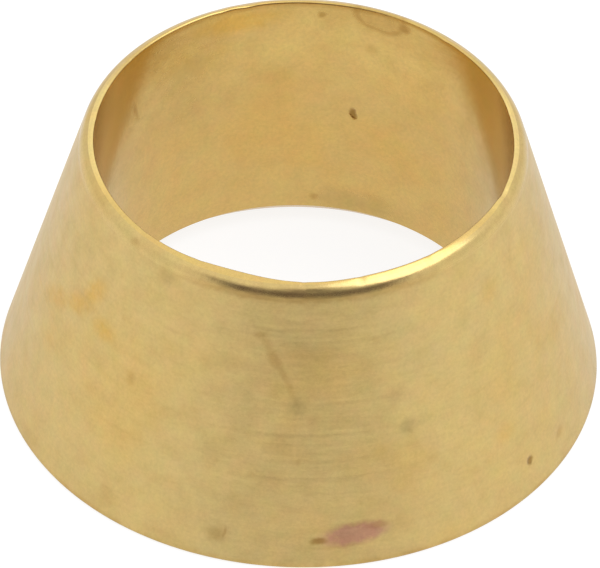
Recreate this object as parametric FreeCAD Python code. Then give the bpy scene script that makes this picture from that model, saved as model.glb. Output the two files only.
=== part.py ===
"""Conical compression olive for a 10 mm tube.

One piece, turned from brass bar: a plain bore that slides on the tube, a single
long taper on the outside, a thin rounded nose at the small end and a flat back
face at the large end, with a lead-in chamfer where the bore meets that face.

Millimetres. +Z runs along the bore, from the back face (Z = 0) to the nose.
The origin is the centre of the back face, on the bore axis.
"""

import FreeCAD
import Part

import math
import os

# ---- driving dimensions ------------------------------------------------------
TUBE_OD = 10.0            # tube that the olive slides on
BORE_CLEARANCE = 0.07     # radial play between tube and bore
BACK_D = 14.8             # overall diameter, over the rounded back edge
LENGTH = 7.3              # back face to the crest of the nose
CONE_HALF_ANGLE = 16.0    # degrees, outer taper against the bore axis
NOSE_R = 0.50             # rounding from the taper over the nose
NOSE_EDGE_R = 0.05        # edge break between the nose and the bore
BACK_EDGE_R = 0.08        # edge break between back face and taper
LEAD_IN = 0.56            # 45 degree chamfer of the bore at the back face

# ---- derived dimensions ------------------------------------------------------
a = math.radians(CONE_HALF_ANGLE)
bore_r = TUBE_OD / 2.0 + BORE_CLEARANCE

# back edge: an arc tangent to the back face and to the taper
back_cr = BACK_D / 2.0 - BACK_EDGE_R            # centre radius of that arc
back_cz = BACK_EDGE_R
# sharp corner where the taper would meet the plane of the back face
sharp_r = back_cr + BACK_EDGE_R / math.cos(a) + back_cz * math.tan(a)

# nose edge: a small arc tangent to the bore wall, and its crest is the top
edge_cr = bore_r + NOSE_EDGE_R
edge_cz = LENGTH - NOSE_EDGE_R
# nose: an arc tangent to the taper and to the nose edge. Its centre lies on the
# line NOSE_R inside the taper, at NOSE_R - NOSE_EDGE_R below the edge's centre.
t = math.tan(a)
line_r = sharp_r - NOSE_R / math.cos(a)
b = edge_cr - line_r
q = edge_cz - b * t
gap = NOSE_R - NOSE_EDGE_R
nose_cz = (q - math.sqrt(q * q - (1 + t * t) * (b * b + edge_cz * edge_cz - gap * gap))) / (1 + t * t)
nose_cr = line_r - nose_cz * t
# direction in which the two arcs meet, degrees above +X
join = math.degrees(math.atan2(edge_cz - nose_cz, edge_cr - nose_cr))


def v(r, z):
    """A point of the half section, which lies in the XZ plane."""
    return FreeCAD.Vector(r, 0.0, z)


def on(cr, cz, radius, degrees):
    """A point on an arc of the half section, by its angle above +X."""
    t = math.radians(degrees)
    return v(cr + radius * math.cos(t), cz + radius * math.sin(t))


def olive():
    """The half section, turned through a full circle about the bore axis."""
    lead_in_low = v(bore_r + LEAD_IN, 0.0)
    lead_in_high = v(bore_r, LEAD_IN)
    back_start = v(back_cr, 0.0)
    back_mid = on(back_cr, back_cz, BACK_EDGE_R, -36.0)
    back_end = on(back_cr, back_cz, BACK_EDGE_R, CONE_HALF_ANGLE)
    nose_start = on(nose_cr, nose_cz, NOSE_R, CONE_HALF_ANGLE)
    nose_mid = on(nose_cr, nose_cz, NOSE_R, (CONE_HALF_ANGLE + join) / 2.0)
    nose_end = on(nose_cr, nose_cz, NOSE_R, join)
    edge_mid = on(edge_cr, edge_cz, NOSE_EDGE_R, (join + 180.0) / 2.0)
    edge_end = v(bore_r, edge_cz)

    edges = [
        Part.LineSegment(lead_in_low, back_start).toShape(),           # back face
        Part.Arc(back_start, back_mid, back_end).toShape(),            # back edge
        Part.LineSegment(back_end, nose_start).toShape(),              # taper
        Part.Arc(nose_start, nose_mid, nose_end).toShape(),            # nose
        Part.Arc(nose_end, edge_mid, edge_end).toShape(),              # nose edge
        Part.LineSegment(edge_end, lead_in_high).toShape(),            # bore
        Part.LineSegment(lead_in_high, lead_in_low).toShape(),         # lead-in
    ]
    face = Part.Face(Part.Wire(edges))
    turned = face.revolve(FreeCAD.Vector(0, 0, 0), FreeCAD.Vector(0, 0, 1), 360.0)
    solid = turned if turned.ShapeType == "Solid" else Part.Solid(turned.Shells[0])
    if solid.Volume < 0:
        solid.reverse()
    return solid


def main():
    os.makedirs("parts", exist_ok=True)
    shape = olive()
    assert shape.isValid() and shape.isClosed() and shape.Volume > 0
    shape.exportStep("parts/compression_olive.step")
    box = shape.optimalBoundingBox()
    print("bore radius %.3f, sharp corner radius %.4f" % (bore_r, sharp_r))
    print("nose centre r %.4f z %.4f, arcs meet at %.2f degrees" % (nose_cr, nose_cz, join))
    print("box %.3f x %.3f x %.3f, volume %.2f mm3" % (box.XLength, box.YLength, box.ZLength, shape.Volume))


main()
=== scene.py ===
import math

import bpy
import numpy as np
from mathutils import Matrix, Vector

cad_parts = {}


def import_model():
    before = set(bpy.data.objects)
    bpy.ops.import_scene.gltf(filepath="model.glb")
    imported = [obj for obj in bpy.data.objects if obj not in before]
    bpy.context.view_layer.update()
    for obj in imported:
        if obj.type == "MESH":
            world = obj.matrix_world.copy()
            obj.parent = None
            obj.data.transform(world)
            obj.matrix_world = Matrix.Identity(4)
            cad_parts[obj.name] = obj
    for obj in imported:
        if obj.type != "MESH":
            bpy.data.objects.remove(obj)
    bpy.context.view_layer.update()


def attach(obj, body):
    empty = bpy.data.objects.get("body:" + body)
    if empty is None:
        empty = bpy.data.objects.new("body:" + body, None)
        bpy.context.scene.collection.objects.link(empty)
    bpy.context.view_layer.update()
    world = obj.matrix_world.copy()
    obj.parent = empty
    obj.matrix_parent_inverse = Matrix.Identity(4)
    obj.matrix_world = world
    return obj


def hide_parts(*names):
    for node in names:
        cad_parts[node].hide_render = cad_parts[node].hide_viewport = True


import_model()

MM = 0.001

# ---- the olive's section, in millimetres, as in the CAD solid ------------------
BORE_R, BACK_R, LENGTH = 5.07, 7.4, 7.3
HALF_ANGLE = math.radians(16.0)
NOSE_R, NOSE_EDGE_R, BACK_EDGE_R, LEAD_IN = 0.50, 0.05, 0.08, 0.56
TA, CA, SA = math.tan(HALF_ANGLE), math.cos(HALF_ANGLE), math.sin(HALF_ANGLE)
BACK_CR = BACK_R - BACK_EDGE_R
SHARP_R = BACK_CR + BACK_EDGE_R / CA + BACK_EDGE_R * TA
EDGE_CR, EDGE_CZ = BORE_R + NOSE_EDGE_R, LENGTH - NOSE_EDGE_R


def nose_centre():
    """Centre of the nose arc: NOSE_R inside the taper, and touching the small arc at the bore from below."""
    line_r, gap = SHARP_R - NOSE_R / CA, NOSE_R - NOSE_EDGE_R
    b = EDGE_CR - line_r
    q = EDGE_CZ - b * TA
    z = (q - math.sqrt(q * q - (1 + TA * TA) * (b * b + EDGE_CZ * EDGE_CZ - gap * gap))) / (1 + TA * TA)
    return line_r - z * TA, z


NOSE_CR, NOSE_CZ = nose_centre()
JOIN = math.degrees(math.atan2(EDGE_CZ - NOSE_CZ, EDGE_CR - NOSE_CR))


def arc(cr, cz, radius, a0, a1, n):
    t = np.radians(np.linspace(a0, a1, n + 1))
    return np.stack([cr + radius * np.cos(t), cz + radius * np.sin(t)], 1)


def line(p, q, n):
    t = np.linspace(0, 1, n + 1)[:, None]
    return np.array(p) * (1 - t) + np.array(q) * t


def section():
    """Points of the closed half section: outwards along the back face, up the taper, over the nose, down the bore."""
    taper_low = (BACK_CR + BACK_EDGE_R * CA, BACK_EDGE_R + BACK_EDGE_R * SA)
    taper_high = (NOSE_CR + NOSE_R * CA, NOSE_CZ + NOSE_R * SA)
    runs = [
        line((BORE_R + LEAD_IN, 0), (BACK_CR, 0), 6),
        arc(BACK_CR, BACK_EDGE_R, BACK_EDGE_R, -90, math.degrees(HALF_ANGLE), 6),
        line(taper_low, taper_high, 70),
        arc(NOSE_CR, NOSE_CZ, NOSE_R, math.degrees(HALF_ANGLE), JOIN, 18),
        arc(EDGE_CR, EDGE_CZ, NOSE_EDGE_R, JOIN, 180, 8),
        line((BORE_R, EDGE_CZ), (BORE_R, LEAD_IN), 48),
        line((BORE_R, LEAD_IN), (BORE_R + LEAD_IN, 0), 4),
    ]
    return np.concatenate([r[:-1] for r in runs])


def bump(th, at, width):
    """A smooth bump round the axis, degrees."""
    d = (np.degrees(th) - at + 180) % 360 - 180
    return np.exp(-((d / width) ** 2))


def smooth(x, a, b):
    t = np.clip((x - a) / (b - a), 0, 1)
    return t * t * (3 - 2 * t)


def lip(th):
    """How far the lip's inner edge stands out of round, in mm: handling has pushed it in and out a little."""
    out = 0.038 * bump(th, 3, 11) - 0.060 * bump(th, -19, 11) - 0.014 * bump(th, 24, 13)
    out += 0.020 * bump(th, 70, 7) - 0.018 * bump(th, -128, 22) + 0.015 * bump(th, 118, 16) - 0.014 * bump(th, 168, 18)
    return out + 0.005 * np.sin(5 * th + 0.7) + 0.004 * np.sin(9 * th + 2.1)


# nicks in the lip: angle, half width in degrees, depth in mm
NICKS = [(69.5, 2.2, 0.050), (62.0, 1.6, 0.016), (-163.5, 2.6, 0.030), (-156.0, 1.6, 0.016), (0.8, 0.9, 0.012), (16.0, 1.2, 0.010), (-47.0, 1.5, 0.016),
         (-96.0, 1.6, 0.018), (102.0, 1.4, 0.014), (138.0, 1.8, 0.018), (-122.0, 1.2, 0.012), (-28.0, 1.3, 0.010), (37.0, 1.4, 0.010)]
# pits: on the bore or not, angle, height, radius and depth in mm
PITS = [(False, 52.4, 0.89, 0.12, 0.030), (True, 166.1, 3.81, 0.12, 0.030), (False, 62.8, 0.81, 0.12, 0.010), (False, -47.4, 7.05, 0.11, 0.014),
        (False, 148.0, 2.3, 0.12, 0.020), (False, -133.0, 4.6, 0.11, 0.016), (True, 12.0, 4.9, 0.12, 0.020)]


def make_olive():
    pts = section()
    n, m = 600, len(pts)
    th = np.arange(n) * 2 * math.pi / n
    r = np.repeat((pts[:, 0] * (1 - 7e-4))[None], n, 0)
    z = np.repeat(pts[:, 1][None], n, 0)
    inside = (pts[:, 0] < EDGE_CR - 1e-6) & (pts[:, 1] > LEAD_IN - 1e-6)
    # the lip's inner edge, fading out down the bore and over the nose: pushed in, only the crest follows
    down = smooth(pts[:, 1], 5.6, 7.2)
    fade_in = np.where(inside, down, smooth(pts[:, 1], LENGTH - 0.10, LENGTH - 0.01))
    fade_out = np.where(inside, down, smooth(pts[:, 1], LENGTH - 0.16, LENGTH - 0.01))
    r = r + np.minimum(lip(th), 0)[:, None] * fade_in[None] + np.maximum(lip(th), 0)[:, None] * fade_out[None]
    # nicks press the crest down and spread it a little
    near = smooth(z, LENGTH - 0.16, LENGTH)
    for at, width, depth in NICKS:
        z = z - depth * bump(th, at, width)[:, None] * near
    # the crest is not quite level
    z = z - (0.006 + 0.004 * np.sin(3 * th + 1.0) + 0.002 * np.sin(7 * th))[:, None] * near
    for on_bore, at, height, radius, depth in PITS:
        d = (np.degrees(th) - at + 180) % 360 - 180
        u = np.radians(d)[:, None] * pts[:, 0][None]
        hole = depth * np.exp(-((u / radius) ** 2 + ((pts[:, 1][None] - height) / radius) ** 2))
        r = r + np.where(inside == on_bore, hole * (1 if on_bore else -1), 0)
    co = np.zeros((n, m, 3))
    co[:, :, 0] = np.sin(th)[:, None] * r
    co[:, :, 1] = -np.cos(th)[:, None] * r
    co[:, :, 2] = z
    i, j = np.meshgrid(np.arange(n), np.arange(m), indexing="ij")
    i2, j2 = (i + 1) % n, (j + 1) % m
    quads = np.stack([i * m + j, i2 * m + j, i2 * m + j2, i * m + j2], 2).reshape(-1, 4)
    me = bpy.data.meshes.new("olive")
    me.from_pydata((co.reshape(-1, 3) * MM).tolist(), [], quads.tolist())
    step = np.linalg.norm(np.roll(pts, -1, 0) - pts, axis=1)
    along = np.concatenate([[0], np.cumsum(step)]) / step.sum()
    uv = np.zeros((n, m, 4, 2))
    uv[:, :, (0, 3), 0] = (np.arange(n) / n)[:, None, None]
    uv[:, :, (1, 2), 0] = ((np.arange(n) + 1) / n)[:, None, None]
    uv[:, :, (0, 1), 1] = along[:-1][None, :, None]
    uv[:, :, (2, 3), 1] = along[1:][None, :, None]
    layer = me.uv_layers.new(name="OFBake")
    layer.data.foreach_set("uv", (uv * 0.998 + 0.001).ravel())
    me.polygons.foreach_set("use_smooth", np.ones(len(me.polygons), bool))
    # the two corners of the lead-in are crisp
    sharp = np.zeros(len(me.edges), bool)
    low, high = 0, m - 4
    ev = np.zeros(len(me.edges) * 2, np.int32)
    me.edges.foreach_get("vertices", ev)
    row = (ev % m).reshape(-1, 2)
    sharp[(row[:, 0] == row[:, 1]) & np.isin(row[:, 0], (low, high))] = True
    me.attributes.new("sharp_edge", "BOOLEAN", "EDGE").data.foreach_set("value", sharp)
    me.update()
    o = bpy.data.objects.new("olive", me)
    bpy.context.scene.collection.objects.link(o)
    return o


olive = make_olive()
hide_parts("compression_olive")
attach(olive, "root")


# ---- brass ---------------------------------------------------------------------
class Nodes:
    """Small helper that adds shader nodes and links them."""

    def __init__(self, tree):
        self.t = tree

    def add(self, kind, ins=None, out=0, **props):
        n = self.t.nodes.new(kind)
        for k, v in props.items():
            setattr(n, k, v)
        for k, v in (ins or {}).items():
            if isinstance(v, bpy.types.NodeSocket):
                self.t.links.new(v, n.inputs[k])
            else:
                n.inputs[k].default_value = v
        return n.outputs[out]

    def math(self, op, a, b=0.0, c=0.0, clamp=False):
        return self.add("ShaderNodeMath", {0: a, 1: b, 2: c}, operation=op, use_clamp=clamp)

    def vec(self, op, a, b=(0, 0, 0), scale=1.0):
        out = "Value" if op in ("LENGTH", "DOT_PRODUCT", "DISTANCE") else "Vector"
        ins = {0: a, 1: b}
        if op == "SCALE":
            ins = {0: a, "Scale": scale}
        return self.add("ShaderNodeVectorMath", ins, out=out, operation=op)

    def ramp(self, v, a, b, lo=0.0, hi=1.0, kind="SMOOTHSTEP"):
        return self.add("ShaderNodeMapRange", {"Value": v, "From Min": a, "From Max": b, "To Min": lo, "To Max": hi}, interpolation_type=kind)

    def noise(self, v, scale, detail=2.0, rough=0.5, out="Fac"):
        return self.add("ShaderNodeTexNoise", {"Vector": v, "Scale": scale, "Detail": detail, "Roughness": rough}, out=out)

    def tint(self, colour, by, amount):
        """colour times by, as far as amount says."""
        n = self.t.nodes.new("ShaderNodeMix")
        n.data_type, n.blend_type = "RGBA", "MULTIPLY"
        n.clamp_factor = True
        for socket, value in ((n.inputs[0], amount), (n.inputs[6], colour), (n.inputs[7], (*by, 1.0))):
            if isinstance(value, bpy.types.NodeSocket):
                self.t.links.new(value, socket)
            else:
                socket.default_value = value
        return n.outputs[2]


def spot_axes(on_bore, angle, height, turn):
    """Centre of a mark on the surface, and its axes: along, across and out of the surface. turn is from level, towards the nose."""
    a = math.radians(angle)
    out = Vector((math.sin(a), -math.cos(a), 0))
    round_ = Vector((math.cos(a), math.sin(a), 0))
    if on_bore:
        r, up, normal = BORE_R, Vector((0, 0, 1)), -out
    else:
        r = SHARP_R - height * TA
        up = Vector((0, 0, 1)) * CA - out * SA
        normal = out * CA + Vector((0, 0, 1)) * SA
    t = math.radians(turn)
    e1 = round_ * math.cos(t) + up * math.sin(t)
    e2 = up * math.cos(t) - round_ * math.sin(t)
    return out * r + Vector((0, 0, height)), e1, e2, e1.cross(e2)


# marks: kind, on the bore or not, angle (degrees), height, half length, half width (mm), turn (degrees), strength, softness
MARKS = [
    # the slanting scratch at the front, with its thick middle
    ("brown", 0, -9.0, 6.00, 0.16, 0.080, 10, 0.34, 0.7),
    ("brown", 0, -7.2, 5.74, 0.28, 0.090, -62, 0.30, 0.7),
    ("brown", 0, -5.5, 5.42, 0.26, 0.120, -62, 0.44, 0.7),
    ("brown", 0, -3.6, 5.10, 0.28, 0.090, -60, 0.32, 0.7),
    ("brown", 0, -1.6, 4.66, 0.34, 0.080, -66, 0.26, 0.7),
    # painted shade: brown bands where the taper turns into the nose, deepening the dark reflection under the lip
    ("brown", 0, -14.0, 6.99, 1.30, 0.090, 0, 0.65, 0.9),
    ("brown", 0, 4.0, 6.99, 1.40, 0.090, 0, 0.65, 0.9),
    ("brown", 0, 22.0, 6.99, 1.30, 0.090, 0, 0.55, 0.9),
    # smudges
    ("grey", 0, 0.0, 4.24, 0.19, 0.24, 0, 0.75, 0.8),
    ("grey", 0, 24.2, 3.40, 0.17, 0.16, 0, 0.95, 0.8),
    ("grey", 0, 27.0, 3.38, 0.34, 0.06, 8, 0.25, 0.7),
    ("grey", 0, 22.7, 4.29, 0.26, 0.18, 0, 0.34, 0.8),
    ("grey", 0, -34.9, 6.75, 0.24, 0.18, 10, 0.55, 0.8),
    ("grey", 0, 1.5, 5.55, 0.75, 0.35, -60, 0.30, 0.9),
    # the pinkish stain near the back edge, with its brown tail and top
    ("pink", 0, 11.8, 0.86, 0.74, 0.265, 5, 1.20, 0.45),
    ("pink", 0, 8.5, 0.80, 0.34, 0.20, 5, 0.60, 0.6),
    ("brown", 0, 4.6, 0.73, 0.19, 0.09, 8, 1.00, 0.6),
    ("brown", 0, 16.0, 1.02, 0.30, 0.09, 2, 0.50, 0.7),
    ("brown", 0, 12.0, 1.10, 0.45, 0.08, 4, 0.34, 0.8),
    ("brown", 0, 9.0, 0.56, 0.50, 0.05, 3, 0.22, 0.7),
    # spots and ticks
    ("brown", 0, -15.2, 0.69, 0.20, 0.16, 0, 0.40, 0.9),
    ("brown", 0, -13.6, 0.76, 0.16, 0.045, 80, 0.45, 0.6),
    ("dark", 0, 52.4, 0.89, 0.115, 0.085, 60, 0.85, 0.5),
    ("brown", 0, 62.8, 0.81, 0.17, 0.10, 20, 0.42, 0.7),
    ("brown", 0, -47.4, 7.06, 0.14, 0.09, 0, 0.42, 0.7),
    ("brown", 0, -39.3, 3.82, 0.10, 0.16, 0, 0.28, 0.8),
    # oxide on the left
    ("orange", 0, -69.0, 4.00, 0.70, 0.24, 28, 0.80, 0.7),
    ("orange", 0, -60.0, 4.52, 0.55, 0.24, 30, 0.95, 0.7),
    ("orange", 0, -56.0, 5.10, 0.50, 0.24, 56, 0.95, 0.7),
    ("orange", 0, -50.0, 4.50, 0.34, 0.24, 10, 0.95, 0.8),
    ("orange", 0, -66.0, 2.95, 0.50, 0.32, 20, 0.50, 0.9),
    ("orange", 0, 51.0, 5.75, 0.30, 0.24, 30, 0.40, 0.9),
    ("orange", 0, 47.5, 2.05, 0.30, 0.20, 0, 0.45, 0.9),
    ("orange", 0, 72.0, 3.30, 0.80, 0.45, 0, 0.35, 0.9),
    ("pale", 0, -39.0, 4.15, 0.55, 0.14, 0, 0.60, 0.8),
    ("pale", 0, -50.0, 3.30, 0.60, 0.16, 5, 0.45, 0.8),
    ("pale", 0, 65.9, 6.00, 0.22, 0.70, 0, 0.80, 0.8),
    # along the back edge
    ("brown", 0, -63.0, 0.34, 0.50, 0.14, 0, 0.24, 0.9),
    ("brown", 0, -39.2, 0.62, 0.17, 0.26, 0, 0.20, 0.9),
    ("brown", 0, -26.0, 0.30, 0.50, 0.12, 0, 0.22, 0.9),
    # bore
    ("brown", 1, 158.8, 7.16, 0.72, 0.52, 4, 0.24, 0.25),
    ("ring", 1, 158.8, 7.16, 0.72, 0.52, 4, 0.55, 0.15),
    ("brown", 1, 151.5, 7.02, 0.17, 0.15, -30, 0.75, 0.7),
    ("brown", 1, 155.5, 6.72, 0.26, 0.07, -20, 0.45, 0.7),
    ("brown", 1, 175.7, 6.93, 0.10, 0.09, 0, 0.60, 0.6),
    ("brown", 1, 161.1, 6.04, 0.15, 0.16, 0, 0.28, 0.7),
    ("dark", 1, 166.1, 3.81, 0.085, 0.16, -18, 0.95, 0.5),
    ("brown", 1, -125.2, 5.43, 0.34, 0.06, 75, 0.40, 0.7),
    ("grey", 1, 164.0, 0.84, 1.25, 0.32, 0, 0.65, 0.9),
    ("brown", 1, 176.7, 0.88, 0.11, 0.10, 0, 0.50, 0.6),
    ("orange", 1, -160.3, 6.85, 1.00, 0.30, 0, 1.20, 0.8),
    ("grey", 1, -145.0, 5.90, 0.90, 1.30, 0, 0.38, 0.9),
    ("orange", 1, -140.0, 6.30, 0.80, 0.40, 0, 0.45, 0.9),
    # the sides that the picture does not show
    ("brown", 0, 131.0, 3.10, 0.30, 0.05, -35, 0.40, 0.6),
    ("grey", 0, 152.0, 4.70, 0.24, 0.18, 0, 0.70, 0.7),
    ("brown", 0, 148.0, 2.30, 0.11, 0.10, 0, 0.70, 0.6),
    ("orange", 0, 172.0, 3.60, 0.70, 0.45, 0, 0.70, 0.9),
    ("grey", 0, -150.0, 2.60, 0.26, 0.16, 0, 0.60, 0.7),
    ("brown", 0, -133.0, 4.60, 0.11, 0.10, 0, 0.60, 0.6),
    ("pale", 0, -118.0, 3.40, 0.60, 0.16, 0, 0.60, 0.8),
    ("brown", 0, -104.0, 0.60, 0.70, 0.24, 0, 0.40, 0.8),
    ("brown", 0, 112.0, 0.45, 0.70, 0.20, 0, 0.36, 0.8),
    ("orange", 0, 104.0, 4.90, 0.60, 0.40, 0, 0.60, 0.9),
    ("brown", 1, 12.0, 4.90, 0.10, 0.12, 0, 0.80, 0.5),
    ("grey", 1, -32.0, 2.40, 0.50, 0.30, 0, 0.60, 0.8),
    ("orange", 1, 40.0, 5.60, 0.70, 0.40, 0, 0.60, 0.9),
]
TINTS = {
    "brown": (0.70, 0.60, 0.48),
    "dark": (0.46, 0.38, 0.26),
    "grey": (0.80, 0.82, 0.83),
    "pink": (0.90, 0.68, 1.06),
    "orange": (1.02, 0.91, 0.66),
    "pale": (1.08, 1.08, 1.12),
}
# turning lines that stand out on the taper: height in mm, depth share
LINES = [(6.22, 0.8), (5.90, 0.9), (5.55, 0.7), (5.22, 0.9), (4.79, 0.8), (4.33, 0.9), (3.52, 1.2), (3.28, 0.4), (2.85, 0.6), (2.40, 0.9)]


def brass():
    mat = bpy.data.materials.new("brass")
    mat.use_nodes = True
    t = mat.node_tree
    t.nodes.clear()
    k = Nodes(t)
    p = k.vec("SCALE", k.add("ShaderNodeTexCoord", out="Object"), scale=1000.0)
    sep = t.nodes.new("ShaderNodeSeparateXYZ")
    t.links.new(p, sep.inputs[0])
    x, y, z = sep.outputs
    r = k.vec("LENGTH", k.add("ShaderNodeCombineXYZ", {0: x, 1: y}))
    # on the bore or its lead-in: nearer to the bore's radius than to the taper's
    mid = k.math("MULTIPLY_ADD", z, -0.5 * TA, 0.5 * (SHARP_R + BORE_R))
    bore = k.ramp(k.math("SUBTRACT", r, mid), 0.01, -0.01)
    taper = k.math("SUBTRACT", 1.0, bore)
    # around the axis as a unit circle, so that nothing has a seam
    flat = k.vec("NORMALIZE", k.add("ShaderNodeCombineXYZ", {0: x, 1: y}))
    fs = t.nodes.new("ShaderNodeSeparateXYZ")
    t.links.new(flat, fs.inputs[0])

    def turned(around, along, scale, detail, rough=0.5):
        """Noise drawn out round the axis, as a lathe tool leaves it."""
        v = k.add("ShaderNodeCombineXYZ", {0: k.math("MULTIPLY", fs.outputs[0], around), 1: k.math("MULTIPLY", fs.outputs[1], around), 2: k.math("MULTIPLY", k.math("ADD", z, k.math("MULTIPLY", bore, 31.0)), along)})
        return k.noise(v, scale, detail, rough)

    # ---- marks: soft ellipsoids on the surface, with ragged edges
    wob = k.vec("SUBTRACT", k.noise(p, 3.5, 3.0, 0.6, out="Color"), (0.5, 0.5, 0.5))
    ragged = k.vec("ADD", p, k.vec("SCALE", wob, scale=0.16))
    masks = {}
    for kind, on_bore, angle, height, half, wide, turn, strength, soft in MARKS:
        c, e1, e2, e3 = spot_axes(on_bore, angle, height, turn)
        rot = Matrix((e1, e2, e3)).transposed().to_euler("XYZ")
        local = k.add("ShaderNodeMapping", {"Vector": ragged, "Location": c, "Rotation": rot, "Scale": (half, wide, 0.35 + 0.3 * max(half, wide))}, vector_type="TEXTURE")
        m = k.ramp(k.vec("LENGTH", local), 1.0 + soft, 1.0 - soft, 0.0, strength)
        if kind == "ring":
            kind, m = "brown", k.math("MULTIPLY", m, k.ramp(k.vec("LENGTH", local), 0.60, 0.92))
        m = k.math("MULTIPLY", m, bore if on_bore else taper)
        masks[kind] = m if kind not in masks else k.math("MAXIMUM", masks[kind], m)

    # ---- colour
    base = k.add("ShaderNodeRGB")
    base.node.outputs[0].default_value = (0.636, 0.462, 0.180, 1)
    cloud = k.noise(p, 0.32, 3.0, 0.55)
    mottle = k.noise(p, 1.5, 4.0, 0.6)
    grain = k.noise(p, 11.0, 2.0, 0.7)
    calm = k.math("MULTIPLY_ADD", bore, -0.45, 1.0)
    col = k.tint(base, (1.015, 0.965, 0.86), k.ramp(cloud, 0.50, 0.72, 0.0, 0.9))
    col = k.tint(col, (0.975, 1.0, 1.05), k.ramp(cloud, 0.48, 0.28, 0.0, 0.9))
    col = k.tint(col, (0.94, 0.93, 0.90), k.math("MULTIPLY", k.ramp(mottle, 0.48, 0.70, 0.0, 0.65), calm))
    col = k.tint(col, (1.05, 1.05, 1.05), k.math("MULTIPLY", k.ramp(mottle, 0.50, 0.30, 0.0, 0.5), calm))
    col = k.tint(col, (0.86, 0.86, 0.86), k.ramp(grain, 0.35, 0.75, 0.0, 0.7, "LINEAR"))
    fine = turned(1.3, 1.0, 9.0, 3.0, 0.6)
    col = k.tint(col, (0.93, 0.92, 0.90), k.math("MULTIPLY", taper, k.ramp(fine, 0.45, 0.72, 0.0, 0.45)))
    # faint shifts of hue, as thin oxide gives
    hue = k.vec("ADD", k.vec("SCALE", k.noise(p, 1.9, 2.0, 0.6, out="Color"), scale=0.13), (0.935, 0.935, 0.935))
    col = k.vec("MULTIPLY", col, hue)
    # the bore is warmer towards its back and front; painted light: it is lightened towards its mouth, where more light
    # gets in
    col = k.tint(col, (1.0, 0.93, 0.82), k.math("MULTIPLY", bore, k.ramp(k.math("ABSOLUTE", y), 1.2, 3.0)))
    col = k.tint(col, (1.10, 1.14, 1.13), k.math("MULTIPLY", bore, k.ramp(z, 4.2, 6.2)))
    # painted light: the bore's side walls are lightened, against the shade of their double reflection
    painted_light_bore_sides = k.math("MULTIPLY", bore, k.ramp(k.math("ABSOLUTE", y), 3.0, 1.2))
    col = k.tint(col, (1.22, 1.22, 1.21), k.math("MULTIPLY", painted_light_bore_sides, k.ramp(z, 3.6, 5.2)))
    # scattered specks of tarnish
    col = k.tint(col, TINTS["brown"], k.ramp(k.noise(ragged, 2.3, 1.0), 0.72, 0.82, 0.0, 0.18))
    # a thin line along the back edge, darker and browner, patchy with the mottle
    edge = k.math("MULTIPLY", k.ramp(z, 0.22, 0.05), k.ramp(mottle, 0.30, 0.62, 0.25, 1.0))
    col = k.tint(col, (0.86, 0.80, 0.70), k.math("MULTIPLY", edge, taper))
    for kind in ("pale", "orange", "grey", "pink", "brown", "dark"):
        amount = masks[kind]
        if kind in ("orange", "pink", "grey"):
            amount = k.math("MULTIPLY", amount, k.ramp(k.noise(p, 5.0, 3.0, 0.6), 0.25, 0.62, 0.55, 1.1, "LINEAR"))
        col = k.tint(col, TINTS[kind], amount)

    # ---- turning lines
    stand = k.add("ShaderNodeValToRGB", {"Fac": k.math("DIVIDE", z, LENGTH)}, out="Color")
    cr = stand.node.color_ramp
    cr.interpolation = "LINEAR"
    stops = []
    for at, depth in sorted(LINES):
        stops += [(at - 0.085, 0.0), (at, depth), (at + 0.085, 0.0)]
    while len(cr.elements) > 1:
        cr.elements.remove(cr.elements[-1])
    cr.elements[0].position, cr.elements[0].color = stops[0][0] / LENGTH, (0, 0, 0, 1)
    for at, v in stops[1:]:
        e = cr.elements.new(at / LENGTH)
        e.color = (v, v, v, 1)
    stand = k.math("MULTIPLY", stand, taper)
    stand = k.math("MULTIPLY", stand, k.ramp(turned(2.2, 0.5, 1.0, 2.0), 0.38, 0.58))
    col = k.tint(col, (0.93, 0.92, 0.90), k.math("MULTIPLY", stand, 0.35))

    # ---- relief, in millimetres
    coarse = turned(0.9, 1.0, 3.2, 2.0)
    hgt = k.math("MULTIPLY", fine, 0.0026)
    hgt = k.math("MULTIPLY_ADD", coarse, 0.0065, hgt)
    hgt = k.math("MULTIPLY_ADD", stand, -0.0024, hgt)
    hgt = k.math("MULTIPLY_ADD", k.noise(p, 2.2, 3.0, 0.6), 0.006, hgt)
    hgt = k.math("MULTIPLY", hgt, k.math("MULTIPLY_ADD", bore, -0.65, 1.0))
    # none on the crest, where taper and bore meet
    hgt = k.math("MULTIPLY", hgt, k.ramp(k.math("ABSOLUTE", k.math("SUBTRACT", r, mid)), 0.015, 0.12))
    hgt = k.math("MULTIPLY_ADD", masks["dark"], -0.020, hgt)
    relief = k.add("ShaderNodeBump", {"Strength": 1.0, "Distance": 0.001, "Height": hgt})

    # ---- roughness
    rough = k.ramp(mottle, 0.3, 0.7, 0.33, 0.40, "LINEAR")
    rough = k.math("MULTIPLY_ADD", k.math("MAXIMUM", masks["brown"], k.math("MAXIMUM", masks["grey"], masks["pink"])), 0.12, rough)
    # the bore is reamed and the nose worn, so both are smoother
    worn = k.ramp(z, LENGTH - 0.42, LENGTH - 0.30, 0.0, 0.14)
    rough = k.math("SUBTRACT", rough, k.math("MAXIMUM", k.math("MULTIPLY", bore, 0.13), worn))

    bsdf = t.nodes.new("ShaderNodeBsdfPrincipled")
    bsdf.inputs["Metallic"].default_value = 1.0
    # turned: the grooves run round, so reflections are drawn out across them
    bsdf.inputs["Anisotropic"].default_value = 0.5
    bsdf.inputs["Anisotropic Rotation"].default_value = 0.25
    bsdf.inputs["Specular Tint"].default_value = (0.90, 0.90, 0.92, 1)
    t.links.new(col, bsdf.inputs["Base Color"])
    t.links.new(rough, bsdf.inputs["Roughness"])
    t.links.new(relief, bsdf.inputs["Normal"])
    out = t.nodes.new("ShaderNodeOutputMaterial")
    t.links.new(bsdf.outputs[0], out.inputs[0])
    return mat


olive.data.materials.append(brass())


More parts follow.
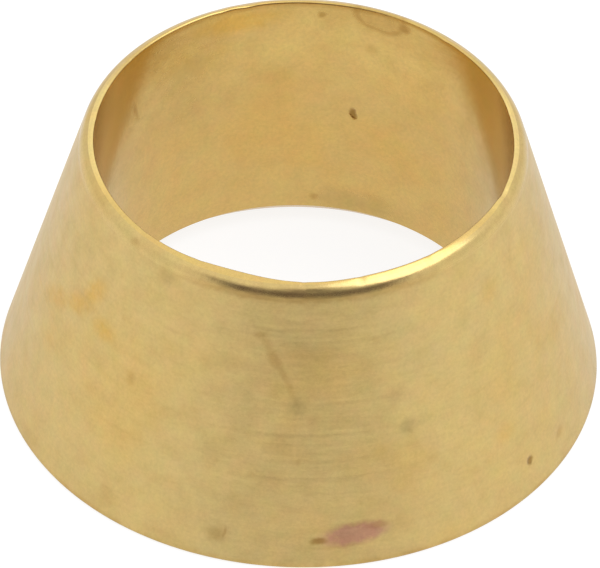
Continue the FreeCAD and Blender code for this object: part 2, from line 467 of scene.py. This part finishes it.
# ---- floor, light and camera ---------------------------------------------------
def floor():
    me = bpy.data.meshes.new("floor")
    s = 1.5
    me.from_pydata([(-s, -s, 0), (s, -s, 0), (s, s, 0), (-s, s, 0)], [], [(0, 1, 2, 3)])
    o = bpy.data.objects.new("floor", me)
    o.location.z = -1e-5
    bpy.context.scene.collection.objects.link(o)
    mat = bpy.data.materials.new("floor")
    mat.use_nodes = True
    b = mat.node_tree.nodes["Principled BSDF"]
    b.inputs["Base Color"].default_value = (0.22, 0.22, 0.22, 1)
    b.inputs["Roughness"].default_value = 0.9
    b.inputs["Specular IOR Level"].default_value = 0.0
    b.inputs["Emission Color"].default_value = (1, 1, 1, 1)
    # glowing evenly as a light table; painted shadow: the glow is dimmed in a wedge far out on the camera side,
    # standing in for the camera's shadow on the table
    t = mat.node_tree
    k = Nodes(t)
    sep = t.nodes.new("ShaderNodeSeparateXYZ")
    t.links.new(k.add("ShaderNodeTexCoord", out="Object"), sep.inputs[0])
    x, y, _ = sep.outputs
    az = k.math("ABSOLUTE", k.math("SUBTRACT", k.math("ARCTAN2", x, k.math("MULTIPLY", y, -1.0)), math.radians(4)))
    painted_shadow_wedge = k.ramp(az, math.radians(34), math.radians(14))
    far = k.ramp(k.math("MULTIPLY", y, -1.0), 0.050, 0.120)
    t.links.new(k.math("MULTIPLY_ADD", k.math("MULTIPLY", painted_shadow_wedge, far), -0.42, 0.85), b.inputs["Emission Strength"])
    me.materials.append(mat)
    return o


floor()


def world():
    w = bpy.data.worlds.new("studio")
    bpy.context.scene.world = w
    w.use_nodes = True
    t = w.node_tree
    t.nodes.clear()
    k = Nodes(t)
    d = k.add("ShaderNodeTexCoord", out="Generated")
    # the unlit camera side: dark from the floor to half way up, narrower at the floor
    sep = t.nodes.new("ShaderNodeSeparateXYZ")
    t.links.new(d, sep.inputs[0])
    x, y, z = sep.outputs
    az = k.math("ABSOLUTE", k.math("SUBTRACT", k.math("ARCTAN2", x, k.math("MULTIPLY", y, -1.0)), math.radians(4)))
    half = k.ramp(z, 0.0, math.sin(math.radians(8)), math.radians(26), math.radians(41))
    half = k.math("ADD", half, k.ramp(z, math.sin(math.radians(15)), math.sin(math.radians(40)), 0.0, math.radians(12)))
    side = k.ramp(k.math("SUBTRACT", az, half), math.radians(-9), math.radians(9))
    high = k.ramp(z, math.sin(math.radians(24)), math.sin(math.radians(64)))
    bg = t.nodes.new("ShaderNodeBackground")
    mix = k.add("ShaderNodeMix", {0: k.math("MAXIMUM", side, high), 6: (0.175, 0.147, 0.165, 1), 7: (1, 1, 1, 1)}, out=2, data_type="RGBA")
    t.links.new(mix, bg.inputs["Color"])
    # brighter overhead
    t.links.new(k.ramp(z, math.sin(math.radians(15)), math.sin(math.radians(60)), 1.0, 1.15), bg.inputs["Strength"])
    out = t.nodes.new("ShaderNodeOutputWorld")
    t.links.new(bg.outputs[0], out.inputs[0])


world()


def softbox(name, azimuth, elevation, distance, size, radiance):
    """A square light that faces the olive. Azimuth 0 is the camera's side and 90 its right."""
    a, e = math.radians(azimuth), math.radians(elevation)
    d = Vector((math.sin(a) * math.cos(e), -math.cos(a) * math.cos(e), math.sin(e)))
    data = bpy.data.lights.new(name, "AREA")
    data.shape, data.size = "SQUARE", size
    data.energy = radiance * math.pi * size * size
    data.color = (0.95, 1.0, 1.15)
    o = bpy.data.objects.new(name, data)
    o.location = d * distance + Vector((0, 0, 0.004))
    o.rotation_euler = d.to_track_quat("Z", "Y").to_euler()
    bpy.context.scene.collection.objects.link(o)


softbox("key", 74, 58, 0.30, 0.20, 1.6)


def camera():
    el, roll = math.radians(42.276), math.radians(1.344)
    dist, px_per_mm, at = 24.0 * BACK_R, 302.506 / BACK_R, (301.056, 249.683)
    target = Vector((0, 0, LENGTH / 2))
    place = target + dist * Vector((0, -math.cos(el), math.sin(el)))
    fwd = (target - place).normalized()
    right = Vector((1, 0, 0))
    up = right.cross(fwd)
    # the picture's content is turned clockwise by roll, so the camera turns the other way
    right, up = right * math.cos(roll) + up * math.sin(roll), up * math.cos(roll) - right * math.sin(roll)
    aim = target - right * ((at[0] - 300) / px_per_mm) - up * ((284 - at[1]) / px_per_mm)
    fwd = (aim - place).normalized()
    up = (up - fwd * up.dot(fwd)).normalized()
    right = fwd.cross(up)
    m = Matrix((right, up, -fwd)).transposed().to_4x4()
    m.translation = place * MM
    data = bpy.data.cameras.new("camera")
    data.sensor_width = 36.0
    data.lens = px_per_mm * dist * 36.0 / 600
    data.clip_start, data.clip_end = 0.005, 10
    o = bpy.data.objects.new("camera", data)
    o.matrix_world = m
    bpy.context.scene.collection.objects.link(o)
    bpy.context.scene.camera = o


camera()
bpy.context.scene.view_settings.view_transform = "Standard"
